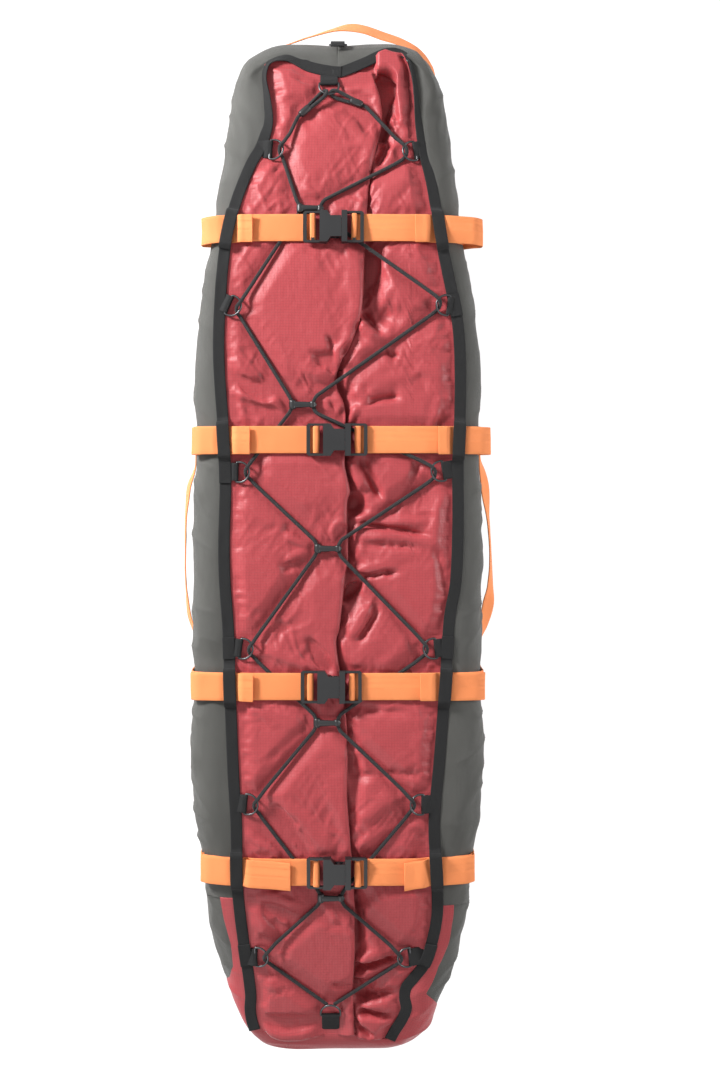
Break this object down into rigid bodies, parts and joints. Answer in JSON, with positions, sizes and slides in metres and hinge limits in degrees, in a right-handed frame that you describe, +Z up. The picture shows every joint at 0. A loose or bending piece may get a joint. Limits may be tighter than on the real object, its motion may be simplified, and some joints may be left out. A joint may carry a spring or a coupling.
{
  "type": "pulk sled",
  "caption": "Low hull on runners under a laced and strapped fabric cover, pulled over snow by its bow bails to carry packed gear.",
  "frame": {"origin": "on the floor, under the middle of the sled's box", "axes": "+Z up, nose towards -Y, the sled's left on +X"},
  "size_m": [0.44, 1.4856, 0.2745],
  "materials": {
    "hull_gelcoat": "gloss",
    "rim_plastic": "satin",
    "runner_plastic": "satin",
    "stainless": "brushed",
    "grey_fabric": "matte",
    "red_fabric": "satin",
    "black_webbing": "matte",
    "orange_webbing": "matte",
    "black_plastic": "satin",
    "gunmetal": "satin",
    "black_cord": "matte"
  },
  "bodies": {
    "sled": {"buckle_1_plug": "black_plastic", "buckle_1_socket": "black_plastic", "buckle_2_plug": "black_plastic", "buckle_2_socket": "black_plastic", "buckle_3_plug": "black_plastic", "buckle_3_socket": "black_plastic", "buckle_4_plug": "black_plastic", "buckle_4_socket": "black_plastic", "bungee_left": "black_cord", "bungee_right": "black_cord", "cord_hooks": "black_plastic", "cord_sleeves": "black_plastic", "d_rings_left": "gunmetal", "d_rings_right": "gunmetal", "edge_webbing_left": "black_webbing", "edge_webbing_right": "black_webbing", "flap_left": "red_fabric", "flap_right": "red_fabric", "gusset_left": "red_fabric", "gusset_right": "red_fabric", "hull_shell": "hull_gelcoat", "nose_handle": "orange_webbing", "nose_ladder_lock": "black_plastic", "nose_ring": "gunmetal", "nose_strap": "black_webbing", "nose_tab": "black_webbing", "rim_strip": "rim_plastic", "ring_tabs_left": "black_webbing", "ring_tabs_right": "black_webbing", "runner_centre": "runner_plastic", "runner_left": "runner_plastic", "runner_right": "runner_plastic", "side_handle_left": "orange_webbing", "side_handle_right": "orange_webbing", "stern_eye": "stainless", "strap_1_left": "orange_webbing", "strap_1_right": "orange_webbing", "strap_2_left": "orange_webbing", "strap_2_right": "orange_webbing", "strap_3_left": "orange_webbing", "strap_3_right": "orange_webbing", "strap_4_left": "orange_webbing", "strap_4_right": "orange_webbing", "tail_panel": "red_fabric", "tail_ring": "gunmetal", "tail_tab": "black_webbing", "tow_bracket_left": "stainless", "tow_bracket_right": "stainless", "wall_left": "grey_fabric", "wall_right": "grey_fabric", "zip_puller": "orange_webbing"},
    "tow_bail_left": {"tow_bail_left": "stainless"},
    "tow_bail_right": {"tow_bail_right": "stainless"}
  },
  "joints": [
    {"name": "tow_bail_swing_left", "type": "hinge", "parent": "sled", "child": "tow_bail_left", "pos_m": [0.062, -0.692, 0.078], "axis": [-1, 0, 0], "range_deg": [0, 120]},
    {"name": "tow_bail_swing_right", "type": "hinge", "parent": "sled", "child": "tow_bail_right", "pos_m": [-0.062, -0.692, 0.078], "axis": [-1, 0, 0], "range_deg": [0, 120]}
  ]
}
